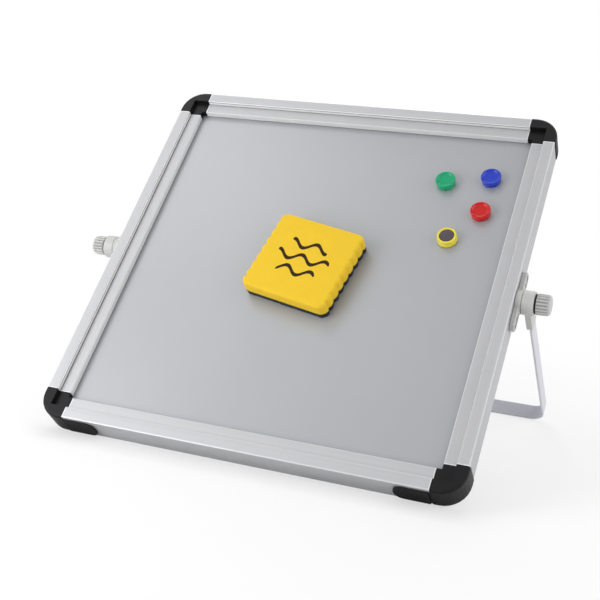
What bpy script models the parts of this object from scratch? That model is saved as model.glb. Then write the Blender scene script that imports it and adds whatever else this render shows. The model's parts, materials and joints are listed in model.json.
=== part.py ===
"""Desktop whiteboard easel.

A square, double-sided board in a stepped aluminium frame turns on two clamp knobs in a
bent flat-strip stand. A felt eraser and four button magnets cling to the front sheet.
Lengths are in metres and +Z is up. The board faces -Y and leans back from its lower edge.
"""

import math

import bmesh
import bpy
from mathutils import Matrix, Vector

# Clearances shared by all pieces
SEAT_GAP = 0.0003
LAP = 0.0005
CUT_OVERRUN = 0.002

# Board frame: four hollow rails with a two-level face and a slot for the panel
BOARD_WIDTH = 0.254
BOARD_HEIGHT = 0.254
FRAME_DEPTH = 0.0168
RAIL_FACE = 0.0142
BAND_WIDTH = 0.0069
STEP_DROP = 0.0029
GROOVE_WIDTH = 0.0007
GROOVE_DEPTH = 0.0005
RAIL_WALL = 0.0012
RAIL_EDGE_RADIUS = 0.0005

# Writing panel: a steel sheet on each side of a thin core
SHEET_THICKNESS = 0.0005
CORE_THICKNESS = 0.0012

# Corner caps
CAP_PAST_RAIL = 0.0028
CAP_PROUD = 0.0006
CAP_CORNER_RADIUS = 0.0145
CAP_EDGE_RADIUS = 0.0014
CAP_INNER_EDGE = 0.0005
TONGUE_LENGTH = 0.012

# Foot pads under the lower rail
PAD_LENGTH = 0.020
PAD_WIDTH = 0.0126
PAD_THICKNESS = 0.001
PAD_TO_CAP = 0.0005
PAD_INNER_RADIUS = 0.005
PAD_OUTER_RADIUS = 0.001

# Side brackets, centred on the hinge a little below the board's middle
HINGE_BELOW_MIDDLE = 0.0016
BRACKET_LENGTH = 0.0392
BRACKET_WIDTH = 0.0078
BRACKET_THICKNESS = 0.0026
BRACKET_EDGE_RADIUS = 0.0005
RECESS_LENGTH = 0.0084
RECESS_WIDTH = 0.0042
RECESS_DEPTH = 0.0012
BOSS_RADIUS = 0.0070
BOSS_HEIGHT = 0.0008

# Bracket screws
SCREW_TO_END = 0.0056
SCREW_RADIUS = 0.0010
SCREW_GRIP = 0.0040
SCREW_TIP_RADIUS = 0.0005
SCREW_TIP_LENGTH = 0.0009
SCREW_HEAD_RADIUS = 0.0017
SCREW_HEAD_HEIGHT = 0.0008
SCREW_HOLE_FIT = 0.0003

# Pivot bolts
BOLT_RADIUS = 0.0025
BOLT_HEAD_FLATS = 0.008
BOLT_HEAD_HEIGHT = 0.0014
BOLT_IN_KNOB = 0.0048
BOLT_TIP_CHAMFER = 0.0005
BORE_FIT = 0.0003

# Leg sockets
RING_WIDTH = 0.0066
RING_EDGE = 0.0005
RING_TO_ARM = 0.0015
SOCKET_LENGTH = 0.0215
SOCKET_WALL = 0.0009
SOCKET_OUTER_WALL = 0.0004
SOCKET_TIP_RADIUS = 0.0026
POCKET_ROOF = 0.0048

# Washers and knobs
WASHER_RADIUS = 0.0056
WASHER_THICKNESS = 0.0005
KNOB_RADIUS = 0.0061
KNOB_LENGTH = 0.0079
KNOB_RIBS = 18
RIB_DEPTH = 0.0008
KNOB_BORE_END = 0.0007

# Stand: one flat strip bent into a bow, its legs square to the board but for a small splay
STRIP_WIDTH = 0.0094
STRIP_THICKNESS = 0.0014
STRIP_EDGE_RADIUS = 0.0003
LEG_LENGTH = 0.1382
BEND_RADIUS = 0.0095
LEG_SPLAY = math.radians(1.67)

# Eraser
ERASER_WIDTH = 0.0575
ERASER_HEIGHT = 0.0558
ERASER_CORNER_RADIUS = 0.0048
ERASER_SCALLOPS = 7
SCALLOP_DEPTH = 0.0010
SCALLOP_LEAD = 0.0012
GRIP_THICKNESS = 0.0075
GRIP_EDGE_RADIUS = 0.0018
FELT_THICKNESS = 0.0035
ERASER_TURN = math.radians(-10.7)
ERASER_MAGNET_RADIUS = 0.006
ERASER_MAGNET_THICKNESS = 0.003

# Button magnets
BUTTON_RADIUS = 0.0061
BUTTON_HEIGHT = 0.0042
BUTTON_DISH_DEPTH = 0.0006
BUTTON_RIM = 0.0012
DISC_RADIUS = 0.0042
DISC_THICKNESS = 0.0022

# Places on the board as shares of its width and height, from its middle
ERASER_PLACE_SHARE = (0.0, -0.001)
BUTTON_PLACE_SHARES = {
    "green": (0.265, 0.297),
    "blue": (0.371, 0.319),
    "red": (0.369, 0.217),
    "yellow": (0.309, 0.133),
}
TURNED_BUTTON = "yellow"

# Smoothness of round forms, in steps
FILLET_STEPS = 2
CORNER_STEPS = 8
BEND_STEPS = 8
ROUND_STEPS = 24
SCREW_STEPS = 16
DRILL_STEPS = 12
RING_STEPS = 32
BUTTON_STEPS = 28
SCALLOP_STEPS = 4
SMOOTH_ANGLE = math.radians(40)

# Sizes that follow from the ones above
HALF_DEPTH = FRAME_DEPTH / 2
LOWER_LEVEL = HALF_DEPTH - STEP_DROP
SHEET_INNER = CORE_THICKNESS / 2 + SEAT_GAP
SHEET_OUTER = SHEET_INNER + SHEET_THICKNESS
SLOT_HALF = SHEET_OUTER + SEAT_GAP
CAP_REACH = RAIL_FACE + CAP_PAST_RAIL
SCREW_SPACING = BRACKET_LENGTH - 2 * SCREW_TO_END
BRACKET_TOP = SEAT_GAP + BRACKET_THICKNESS
BRACKET_FLOOR = BRACKET_TOP - RECESS_DEPTH
BOSS_TOP = BRACKET_TOP + BOSS_HEIGHT
HEX_ROOF = SEAT_GAP * 3 + BOLT_HEAD_HEIGHT
RING_LOW = BOSS_TOP + SEAT_GAP
RING_HIGH = RING_LOW + RING_WIDTH
ARM_LOW = RING_LOW + RING_TO_ARM
POCKET_LOW = ARM_LOW + SOCKET_WALL
LEG_PLANE = POCKET_LOW + SEAT_GAP + STRIP_THICKNESS / 2
POCKET_HIGH = LEG_PLANE + STRIP_THICKNESS / 2 + SEAT_GAP
SOCKET_HIGH = POCKET_HIGH + SOCKET_OUTER_WALL
WASHER_LOW = RING_HIGH + SEAT_GAP
KNOB_LOW = WASHER_LOW + WASHER_THICKNESS + SEAT_GAP
BORE_RADIUS = BOLT_RADIUS + BORE_FIT
BOLT_END = KNOB_LOW + BOLT_IN_KNOB

# Surface looks: colour, roughness, metallic
LOOKS = {
    "aluminium": ((0.70, 0.71, 0.72), 0.38, 0.85),
    "painted_sheet": ((0.56, 0.58, 0.60), 0.30, 0.0),
    "core_board": ((0.55, 0.47, 0.36), 0.9, 0.0),
    "black_plastic": ((0.02, 0.02, 0.022), 0.42, 0.0),
    "black_rubber": ((0.018, 0.018, 0.02), 0.75, 0.0),
    "grey_plastic": ((0.52, 0.52, 0.50), 0.5, 0.0),
    "zinc": ((0.50, 0.50, 0.50), 0.35, 1.0),
    "powder_coat": ((0.66, 0.66, 0.68), 0.45, 0.0),
    "foam": ((0.85, 0.58, 0.05), 0.7, 0.0),
    "felt": ((0.015, 0.015, 0.015), 0.95, 0.0),
    "ferrite": ((0.045, 0.04, 0.045), 0.6, 0.1),
    "green": ((0.02, 0.42, 0.19), 0.3, 0.0),
    "blue": ((0.03, 0.07, 0.58), 0.3, 0.0),
    "red": ((0.65, 0.02, 0.03), 0.3, 0.0),
    "yellow": ((0.80, 0.62, 0.04), 0.3, 0.0),
}


def clear_scene():
    """Remove every object that is in the scene."""
    for old in list(bpy.data.objects):
        bpy.data.objects.remove(old, do_unlink=True)


def add_empty(name, parent=None, matrix=None):
    """Add an empty that stands for a frame or a joint axis."""
    empty = bpy.data.objects.new(name, None)
    bpy.context.scene.collection.objects.link(empty)
    empty.parent = parent
    empty.matrix_local = matrix or Matrix.Identity(4)
    return empty


def axes_matrix(origin, x_axis, y_axis, z_axis):
    """Matrix that puts local axes along the given ones, at the given origin."""
    columns = [Vector(x_axis), Vector(y_axis), Vector(z_axis)]
    turn = Matrix(columns).transposed().to_4x4()
    return Matrix.Translation(Vector(origin)) @ turn


def apply_look(item, look):
    """Give an object a Principled material of its own."""
    colour, roughness, metallic = LOOKS[look]
    material = bpy.data.materials.new(item.name + "_finish")
    material.use_nodes = True
    shader = material.node_tree.nodes["Principled BSDF"]
    shader.inputs["Base Color"].default_value = (*colour, 1.0)
    shader.inputs["Roughness"].default_value = roughness
    shader.inputs["Metallic"].default_value = metallic
    item.data.materials.append(material)


def object_from(name, mesh_data, parent, matrix, look):
    """Link a bmesh as an object; with no look it is a hidden cutter or filler."""
    bmesh.ops.remove_doubles(mesh_data, verts=mesh_data.verts, dist=SEAT_GAP / 1000)
    bmesh.ops.recalc_face_normals(mesh_data, faces=mesh_data.faces)
    mesh = bpy.data.meshes.new(name)
    mesh_data.to_mesh(mesh)
    mesh_data.free()
    item = bpy.data.objects.new(name, mesh)
    bpy.context.scene.collection.objects.link(item)
    item.parent = parent
    item.matrix_local = matrix or Matrix.Identity(4)
    if look is None:
        item.hide_render = True
        item.display_type = "WIRE"
    else:
        apply_look(item, look)
        mesh.shade_smooth()
        mesh.set_sharp_from_angle(angle=SMOOTH_ANGLE)
    return item


def arc(centre, radius, start, end, steps):
    """Points of an arc, both ends included; angles in degrees."""
    points = []
    for step in range(steps + 1):
        angle = math.radians(start + (end - start) * step / steps)
        points.append((centre[0] + radius * math.cos(angle), centre[1] + radius * math.sin(angle)))
    return points


def filleted(corners, steps=FILLET_STEPS):
    """Closed outline from corners (x, y, radius), each rounded by its radius."""
    outline = []
    count = len(corners)
    for index, (x, y, radius) in enumerate(corners):
        point = Vector((x, y))
        if radius == 0:
            outline.append((x, y))
            continue
        before = (Vector(corners[index - 1][:2]) - point).normalized()
        after = (Vector(corners[(index + 1) % count][:2]) - point).normalized()
        half = before.angle(after) / 2
        centre = point + (before + after).normalized() * (radius / math.sin(half))
        first = point + before * (radius / math.tan(half)) - centre
        last = point + after * (radius / math.tan(half)) - centre
        sweep = math.atan2(first.cross(last), first.dot(last))
        for step in range(steps + 1):
            turned = Matrix.Rotation(sweep * step / steps, 2) @ first
            outline.append(tuple(centre + turned))
    return outline


def rectangle(low_x, low_y, high_x, high_y):
    """Outline of an upright rectangle."""
    return [(low_x, low_y), (high_x, low_y), (high_x, high_y), (low_x, high_y)]


def extrude(name, loops, low, high, parent, matrix=None, look=None):
    """Prism along local Z from an outer loop and any hole loops."""
    solid = bmesh.new()
    edges = []
    for loop in loops:
        verts = [solid.verts.new((x, y, low)) for x, y in loop]
        edges += [solid.edges.new((verts[i - 1], verts[i])) for i in range(len(verts))]
    bmesh.ops.triangle_fill(solid, use_beauty=True, use_dissolve=False, edges=edges)
    grown = bmesh.ops.extrude_face_region(solid, geom=solid.faces[:])
    lifted = [part for part in grown["geom"] if isinstance(part, bmesh.types.BMVert)]
    bmesh.ops.translate(solid, verts=lifted, vec=(0, 0, high - low))
    return object_from(name, solid, parent, matrix, look)


def loft(name, rings, parent, matrix=None, look=None):
    """Skin a stack of closed loops of (x, y, z) points and close both ends."""
    solid = bmesh.new()
    stack = [[solid.verts.new(point) for point in ring] for ring in rings]
    for lower, upper in zip(stack, stack[1:]):
        for i in range(len(lower)):
            solid.faces.new((lower[i - 1], lower[i], upper[i], upper[i - 1]))
    solid.faces.new(stack[0][::-1])
    solid.faces.new(stack[-1])
    return object_from(name, solid, parent, matrix, look)


def turn(name, profile, steps, parent, matrix=None, look=None, closed=False):
    """Revolve a profile of (radius, z) points about local Z."""
    solid = bmesh.new()
    rings = []
    for radius, z in profile:
        if radius == 0:
            rings.append([solid.verts.new((0, 0, z))])
            continue
        circle = arc((0, 0), radius, 0, 360, steps)[:-1]
        rings.append([solid.verts.new((x, y, z)) for x, y in circle])
    pairs = list(zip(rings, rings[1:]))
    if closed:
        pairs.append((rings[-1], rings[0]))
    for lower, upper in pairs:
        for i in range(steps):
            corners = [lower[(i - 1) % len(lower)], lower[i % len(lower)]]
            corners += [upper[i % len(upper)], upper[(i - 1) % len(upper)]]
            solid.faces.new(list(dict.fromkeys(corners)))
    return object_from(name, solid, parent, matrix, look)


def cylinder(name, radius, low, high, parent, matrix=None, look=None, steps=ROUND_STEPS):
    """Plain cylinder along local Z."""
    profile = [(0, low), (radius, low), (radius, high), (0, high)]
    return turn(name, profile, steps, parent, matrix, look)


def combine(target, tool, operation):
    """Join a filler to a target or cut it away, by an exact Boolean."""
    step = target.modifiers.new(tool.name, "BOOLEAN")
    step.operation = operation
    step.solver = "EXACT"
    step.object = tool


def add_bevel(item, width, segments):
    """Round the sharp edges of an object."""
    step = item.modifiers.new("edges", "BEVEL")
    step.width = width
    step.segments = segments
    step.limit_method = "ANGLE"
    step.angle_limit = SMOOTH_ANGLE


def rail_outline():
    """Rail section: x runs inward from the outer face, y towards the front."""
    groove_floor = LOWER_LEVEL - GROOVE_DEPTH
    groove_end = BAND_WIDTH + GROOVE_WIDTH
    front = [
        (0, HALF_DEPTH, RAIL_EDGE_RADIUS),
        (BAND_WIDTH, HALF_DEPTH, RAIL_EDGE_RADIUS),
        (BAND_WIDTH, groove_floor, 0),
        (groove_end, groove_floor, 0),
        (groove_end, LOWER_LEVEL, 0),
        (RAIL_FACE, LOWER_LEVEL, RAIL_EDGE_RADIUS),
        (RAIL_FACE, SLOT_HALF, 0),
        (BAND_WIDTH, SLOT_HALF, 0),
    ]
    back = [(x, -y, radius) for x, y, radius in reversed(front)]
    return filleted(front + back)


def rail_cavity():
    """Hollow of the rail: a chamber behind the band and a flat space in each lip."""
    chamber_top = HALF_DEPTH - RAIL_WALL
    chamber_side = BAND_WIDTH - RAIL_WALL
    lip_top = LOWER_LEVEL - RAIL_WALL
    lip_floor = SLOT_HALF + RAIL_WALL
    lip_end = RAIL_FACE - RAIL_WALL
    front = [
        (RAIL_WALL, chamber_top),
        (chamber_side, chamber_top),
        (chamber_side, lip_top),
        (lip_end, lip_top),
        (lip_end, lip_floor),
        (chamber_side, lip_floor),
    ]
    return front + [(x, -y) for x, y in reversed(front)]


def make_rail(name, length, matrix, board):
    """One hollow rail, its section extruded along local Z and centred there."""
    loops = [rail_outline(), rail_cavity()]
    return extrude(name, loops, -length / 2, length / 2, board, matrix, "aluminium")


def make_rails(board):
    """Four rails between the caps; the side rails are drilled for the bracket screws."""
    across = BOARD_WIDTH - 2 * (CAP_REACH + SEAT_GAP)
    upright = BOARD_HEIGHT - 2 * (CAP_REACH + SEAT_GAP)
    front = (0, 0, 1)
    top = axes_matrix((0, BOARD_HEIGHT / 2, 0), (0, -1, 0), front, (-1, 0, 0))
    bottom = axes_matrix((0, -BOARD_HEIGHT / 2, 0), (0, 1, 0), front, (1, 0, 0))
    make_rail("top_rail", across, top, board)
    make_rail("bottom_rail", across, bottom, board)
    for side, word in ((1, "right"), (-1, "left")):
        place = axes_matrix((side * BOARD_WIDTH / 2, 0, 0), (-side, 0, 0), front, (0, side, 0))
        rail = make_rail(f"{word}_rail", upright, place, board)
        for end in (-1, 1):
            along = end * SCREW_SPACING / 2 - side * HINGE_BELOW_MIDDLE
            across_wall = axes_matrix((0, 0, along), (0, 0, 1), (0, -1, 0), (1, 0, 0))
            drill = cylinder(
                f"{word}_rail_drill_{end + 2}",
                SCREW_RADIUS + SCREW_HOLE_FIT,
                -CUT_OVERRUN,
                RAIL_WALL + CUT_OVERRUN,
                board,
                place @ across_wall,
                steps=DRILL_STEPS,
            )
            combine(rail, drill, "DIFFERENCE")


def make_panel(board):
    """Steel front and back sheets on a core, all held in the rails' slots."""
    half_x = BOARD_WIDTH / 2 - BAND_WIDTH - SEAT_GAP
    half_y = BOARD_HEIGHT / 2 - BAND_WIDTH - SEAT_GAP
    outline = [rectangle(-half_x, -half_y, half_x, half_y)]
    extrude("front_sheet", outline, SHEET_INNER, SHEET_OUTER, board, look="painted_sheet")
    extrude("board_core", outline, -CORE_THICKNESS / 2, CORE_THICKNESS / 2, board, look="core_board")
    extrude("back_sheet", outline, -SHEET_OUTER, -SHEET_INNER, board, look="painted_sheet")


def cap_band_ring(inset, z):
    """Outer band of a cap at one level, its outer edge drawn in by an inset."""
    edge = inset - CAP_PROUD
    radius = CAP_CORNER_RADIUS - inset
    centre = edge + radius
    inner = [
        (CAP_REACH, edge),
        (CAP_REACH, BAND_WIDTH),
        (BAND_WIDTH, BAND_WIDTH),
        (BAND_WIDTH, CAP_REACH),
        (edge, CAP_REACH),
    ]
    outline = inner + arc((centre, centre), radius, 180, 270, CORNER_STEPS)
    return [(x, y, z) for x, y in outline]


def make_cap(name, matrix, board):
    """Corner cap with its corner at the local origin and its arms along +X and +Y."""
    rings = []
    for step in range(FILLET_STEPS + 2):
        angle = math.radians(90 * step / (FILLET_STEPS + 1))
        inset = CAP_EDGE_RADIUS * (1 - math.sin(angle))
        rise = CAP_EDGE_RADIUS * (1 - math.cos(angle))
        rings.append(cap_band_ring(inset, rise - HALF_DEPTH))
    rings += [[(x, y, -z) for x, y, z in ring] for ring in reversed(rings)]
    cap = loft(name, rings, board, matrix, "black_plastic")

    start = BAND_WIDTH - LAP
    lip_corners = [
        (CAP_REACH, start, 0),
        (CAP_REACH, RAIL_FACE, 0),
        (RAIL_FACE, RAIL_FACE, CAP_INNER_EDGE),
        (RAIL_FACE, CAP_REACH, 0),
        (start, CAP_REACH, 0),
        (start, start, 0),
    ]
    lip_outline = [filleted(lip_corners)]
    lip = extrude(f"{name}_lip", lip_outline, -LOWER_LEVEL, LOWER_LEVEL, board, matrix)
    combine(cap, lip, "UNION")

    slot_end = CAP_REACH + CUT_OVERRUN
    slot_outline = [rectangle(BAND_WIDTH, BAND_WIDTH, slot_end, slot_end)]
    slot = extrude(f"{name}_slot", slot_outline, -SLOT_HALF, SLOT_HALF, board, matrix)
    combine(cap, slot, "DIFFERENCE")

    near = RAIL_WALL + SEAT_GAP
    far = BAND_WIDTH - RAIL_WALL - SEAT_GAP
    tongue_half = HALF_DEPTH - RAIL_WALL - SEAT_GAP
    tip = CAP_REACH + TONGUE_LENGTH
    arms = (rectangle(CAP_REACH - LAP, near, tip, far), rectangle(near, CAP_REACH - LAP, far, tip))
    for index, outline in enumerate(arms):
        tongue = extrude(f"{name}_tongue_{index}", [outline], -tongue_half, tongue_half, board, matrix)
        combine(cap, tongue, "UNION")


def make_caps(board):
    """One cap on each corner, the same moulding turned by quarter turns."""
    corners = {
        "bottom_left_cap": (-1, -1, 0),
        "bottom_right_cap": (1, -1, 90),
        "top_right_cap": (1, 1, 180),
        "top_left_cap": (-1, 1, 270),
    }
    for name, (side, level, angle) in corners.items():
        origin = Vector((side * BOARD_WIDTH / 2, level * BOARD_HEIGHT / 2, 0))
        quarter = Matrix.Rotation(math.radians(angle), 4, "Z")
        make_cap(name, Matrix.Translation(origin) @ quarter, board)


def make_foot_pads(board):
    """A thin pad beside each lower cap, round at its inner end."""
    high = BOARD_WIDTH / 2 - CAP_REACH - PAD_TO_CAP
    low = high - PAD_LENGTH
    corners = [
        (low, -PAD_WIDTH / 2, PAD_INNER_RADIUS),
        (high, -PAD_WIDTH / 2, PAD_OUTER_RADIUS),
        (high, PAD_WIDTH / 2, PAD_OUTER_RADIUS),
        (low, PAD_WIDTH / 2, PAD_INNER_RADIUS),
    ]
    outline = filleted(corners, CORNER_STEPS // 2)
    under = axes_matrix((0, -BOARD_HEIGHT / 2, 0), (1, 0, 0), (0, 0, 1), (0, -1, 0))
    for side, word in ((1, "right"), (-1, "left")):
        loop = [(side * x, y) for x, y in outline]
        name = f"{word}_foot_pad"
        extrude(name, [loop], SEAT_GAP, SEAT_GAP + PAD_THICKNESS, board, under, "black_rubber")


def side_frame(name, side, parent):
    """Empty on the hinge axis at a side rail: local Z points outward, local Y stays."""
    origin = (side * BOARD_WIDTH / 2, 0, 0)
    return add_empty(name, parent, axes_matrix(origin, (0, side, 0), (0, 0, 1), (side, 0, 0)))


def oblong(length, width, steps=CORNER_STEPS):
    """Outline with two straight sides and half-round ends."""
    reach = (length - width) / 2
    right = arc((reach, 0), width / 2, -90, 90, steps)
    left = arc((-reach, 0), width / 2, 90, 270, steps)
    return right + left


def hexagon(flats):
    """Six-sided outline of a size across its flats."""
    return arc((0, 0), flats / 2 / math.cos(math.radians(30)), 0, 360, 6)[:-1]


def make_bracket(name, frame):
    """Slim oblong plate with a recess for each screw and the fixed half of the hinge boss."""
    rings = []
    for inset, z in (
        (0, SEAT_GAP),
        (0, BRACKET_TOP - BRACKET_EDGE_RADIUS),
        (BRACKET_EDGE_RADIUS, BRACKET_TOP),
    ):
        outline = oblong(BRACKET_LENGTH - 2 * inset, BRACKET_WIDTH - 2 * inset)
        rings.append([(x, y, z) for x, y in outline])
    bracket = loft(name, rings, frame, look="grey_plastic")

    boss = cylinder(f"{name}_boss", BOSS_RADIUS, SEAT_GAP, BOSS_TOP, frame)
    combine(bracket, boss, "UNION")

    pocket_outline = [hexagon(BOLT_HEAD_FLATS + 2 * SEAT_GAP)]
    pocket = extrude(f"{name}_hex_pocket", pocket_outline, -CUT_OVERRUN, HEX_ROOF, frame)
    combine(bracket, pocket, "DIFFERENCE")
    bore = cylinder(f"{name}_bore", BORE_RADIUS, -CUT_OVERRUN, BOSS_TOP + CUT_OVERRUN, frame)
    combine(bracket, bore, "DIFFERENCE")
    recess_outline = [oblong(RECESS_LENGTH, RECESS_WIDTH)]
    recess_high = BRACKET_TOP + CUT_OVERRUN
    for end in (-1, 1):
        place = Matrix.Translation((end * SCREW_SPACING / 2, 0, 0))
        recess_name = f"{name}_recess_{end + 2}"
        recess = extrude(recess_name, recess_outline, BRACKET_FLOOR, recess_high, frame, place)
        combine(bracket, recess, "DIFFERENCE")
        drill = cylinder(
            f"{name}_drill_{end + 2}",
            SCREW_RADIUS + SCREW_HOLE_FIT,
            -CUT_OVERRUN,
            BRACKET_TOP + CUT_OVERRUN,
            frame,
            place,
            steps=DRILL_STEPS,
        )
        combine(bracket, drill, "DIFFERENCE")


def make_screw(name, offset, frame):
    """Round-headed screw that holds the bracket to the rail's outer wall."""
    head_low = BRACKET_FLOOR + SEAT_GAP
    head_shares = ((1, 0), (1, 0.35), (0.7, 0.85), (0, 1))
    profile = [
        (0, -SCREW_GRIP),
        (SCREW_TIP_RADIUS, -SCREW_GRIP),
        (SCREW_RADIUS, SCREW_TIP_LENGTH - SCREW_GRIP),
        (SCREW_RADIUS, head_low),
    ]
    for wide, along in head_shares:
        profile.append((SCREW_HEAD_RADIUS * wide, head_low + SCREW_HEAD_HEIGHT * along))
    place = Matrix.Translation((offset, 0, 0))
    turn(name, profile, SCREW_STEPS, frame, place, "zinc")


def make_bolt(name, frame):
    """Hexagon bolt, its head trapped behind the bracket and its end in the knob."""
    head_low = 2 * SEAT_GAP
    head_high = head_low + BOLT_HEAD_HEIGHT
    profile = [
        (0, head_high - LAP),
        (BOLT_RADIUS, head_high - LAP),
        (BOLT_RADIUS, BOLT_END - BOLT_TIP_CHAMFER),
        (BOLT_RADIUS - BOLT_TIP_CHAMFER, BOLT_END),
        (0, BOLT_END),
    ]
    bolt = turn(name, profile, ROUND_STEPS, frame, look="zinc")
    head = extrude(f"{name}_head", [hexagon(BOLT_HEAD_FLATS)], head_low, head_high, frame)
    combine(bolt, head, "UNION")


def make_socket(name, frame):
    """Hinge ring of the stand with the socket that grips the end of a leg."""
    ring_profile = [
        (0, RING_LOW),
        (BOSS_RADIUS, RING_LOW),
        (BOSS_RADIUS, RING_HIGH - RING_EDGE),
        (BOSS_RADIUS - RING_EDGE, RING_HIGH),
        (0, RING_HIGH),
    ]
    socket = turn(name, ring_profile, RING_STEPS, frame, look="grey_plastic")
    half = STRIP_WIDTH / 2 + SEAT_GAP + SOCKET_WALL
    arm_corners = [
        (-half, -SOCKET_LENGTH, SOCKET_TIP_RADIUS),
        (half, -SOCKET_LENGTH, SOCKET_TIP_RADIUS),
        (half, 0, 0),
        (-half, 0, 0),
    ]
    arm_outline = [filleted(arm_corners, CORNER_STEPS // 2)]
    arm = extrude(f"{name}_arm", arm_outline, ARM_LOW, SOCKET_HIGH, frame)
    combine(socket, arm, "UNION")

    pocket_half = STRIP_WIDTH / 2 + SEAT_GAP
    pocket_end = -SOCKET_LENGTH - CUT_OVERRUN
    pocket_outline = [rectangle(-pocket_half, pocket_end, pocket_half, -POCKET_ROOF)]
    pocket = extrude(f"{name}_pocket", pocket_outline, POCKET_LOW, POCKET_HIGH, frame)
    combine(socket, pocket, "DIFFERENCE")
    bore = cylinder(f"{name}_bore", BORE_RADIUS, RING_LOW - CUT_OVERRUN, RING_HIGH + CUT_OVERRUN, frame)
    combine(socket, bore, "DIFFERENCE")


def make_washer(name, frame):
    """Dark washer between the hinge ring and the knob."""
    high = WASHER_LOW + WASHER_THICKNESS
    profile = [
        (BORE_RADIUS, WASHER_LOW),
        (WASHER_RADIUS, WASHER_LOW),
        (WASHER_RADIUS, high),
        (BORE_RADIUS, high),
    ]
    turn(name, profile, ROUND_STEPS, frame, look="black_rubber", closed=True)


def make_knob(name, frame):
    """Clamp knob with lengthwise ribs that fade at its rounded end."""
    length_shares = (0.0, 0.05, 0.5, 0.78, 0.92, 1.0)
    radius_shares = (0.95, 1.0, 1.0, 0.98, 0.91, 0.74)
    depth_shares = (0.5, 1.0, 1.0, 0.9, 0.5, 0.15)
    rib_shares = (0.0, 0.6, 1.0, 0.6)
    points = KNOB_RIBS * len(rib_shares)
    rings = []
    for along, wide, deep in zip(length_shares, radius_shares, depth_shares):
        ring = []
        for index in range(points):
            sunk = RIB_DEPTH * deep * (1 - rib_shares[index % len(rib_shares)])
            radius = KNOB_RADIUS * wide - sunk
            angle = math.radians(360 * index / points)
            z = KNOB_LOW + KNOB_LENGTH * along
            ring.append((radius * math.cos(angle), radius * math.sin(angle), z))
        rings.append(ring)
    knob = loft(name, rings, frame, look="grey_plastic")
    bore_end = BOLT_END + KNOB_BORE_END
    bore = cylinder(f"{name}_bore", BORE_RADIUS, KNOB_LOW - CUT_OVERRUN, bore_end, frame)
    combine(knob, bore, "DIFFERENCE")


def make_strip(stand):
    """Flat strip bent into a bow: two legs and the bar that rests on the table."""
    plane = BOARD_WIDTH / 2 + LEG_PLANE
    outer = plane + STRIP_THICKNESS / 2
    inner = plane - STRIP_THICKNESS / 2
    top = -POCKET_ROOF - SEAT_GAP
    inner_radius = BEND_RADIUS - STRIP_THICKNESS
    bend_x = outer - BEND_RADIUS
    bend_z = BEND_RADIUS - LEG_LENGTH
    outside = [(-outer, top)]
    outside += arc((-bend_x, bend_z), BEND_RADIUS, 180, 270, BEND_STEPS)
    outside += arc((bend_x, bend_z), BEND_RADIUS, 270, 360, BEND_STEPS)
    outside += [(outer, top)]
    inside = [(inner, top)]
    inside += arc((bend_x, bend_z), inner_radius, 360, 270, BEND_STEPS)
    inside += arc((-bend_x, bend_z), inner_radius, 270, 180, BEND_STEPS)
    inside += [(-inner, top)]
    upright = axes_matrix((0, 0, 0), (1, 0, 0), (0, 0, 1), (0, -1, 0))
    half = STRIP_WIDTH / 2
    strip = extrude("stand_strip", [outside + inside], -half, half, stand, upright, "powder_coat")
    add_bevel(strip, STRIP_EDGE_RADIUS, 1)


def eraser_outline(inset):
    """Eraser seen from above: straight top and bottom, scalloped left and right."""
    half_x = ERASER_WIDTH / 2 - inset
    half_y = ERASER_HEIGHT / 2 - inset
    radius = ERASER_CORNER_RADIUS - inset
    centre_x = half_x - radius
    centre_y = half_y - radius
    reach = centre_y - SCALLOP_LEAD
    count = ERASER_SCALLOPS * SCALLOP_STEPS
    side = []
    for index in range(count + 1):
        wave = abs(math.sin(math.pi * index / SCALLOP_STEPS))
        y = -reach + 2 * reach * index / count
        side.append((half_x - SCALLOP_DEPTH * (1 - wave), y))
    right = arc((centre_x, -centre_y), radius, -90, 0, CORNER_STEPS // 2) + side
    right += arc((centre_x, centre_y), radius, 0, 90, CORNER_STEPS // 2)
    return right + [(-x, -y) for x, y in right]


def make_eraser(board):
    """Foam grip on a felt pad, with a disc magnet sunk into the foam's underside."""
    place = Vector((ERASER_PLACE_SHARE[0] * BOARD_WIDTH, ERASER_PLACE_SHARE[1] * BOARD_HEIGHT, SHEET_OUTER))
    seat = Matrix.Translation(place) @ Matrix.Rotation(ERASER_TURN, 4, "Z")
    frame = add_empty("eraser_frame", board, seat)
    felt_low = SEAT_GAP
    felt_high = felt_low + FELT_THICKNESS
    extrude("eraser_felt", [eraser_outline(0)], felt_low, felt_high, frame, look="felt")

    low = felt_high + SEAT_GAP
    high = low + GRIP_THICKNESS
    rings = [[(x, y, low) for x, y in eraser_outline(0)]]
    for step in range(FILLET_STEPS + 2):
        angle = math.radians(90 * step / (FILLET_STEPS + 1))
        inset = GRIP_EDGE_RADIUS * (1 - math.cos(angle))
        z = high - GRIP_EDGE_RADIUS * (1 - math.sin(angle))
        rings.append([(x, y, z) for x, y in eraser_outline(inset)])
    grip = loft("eraser_grip", rings, frame, look="foam")
    magnet_high = low + ERASER_MAGNET_THICKNESS
    pocket = cylinder(
        "eraser_grip_pocket",
        ERASER_MAGNET_RADIUS + SEAT_GAP,
        felt_high,
        magnet_high + SEAT_GAP,
        frame,
    )
    combine(grip, pocket, "DIFFERENCE")
    cylinder("eraser_magnet", ERASER_MAGNET_RADIUS, low, magnet_high, frame, look="ferrite")


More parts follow.
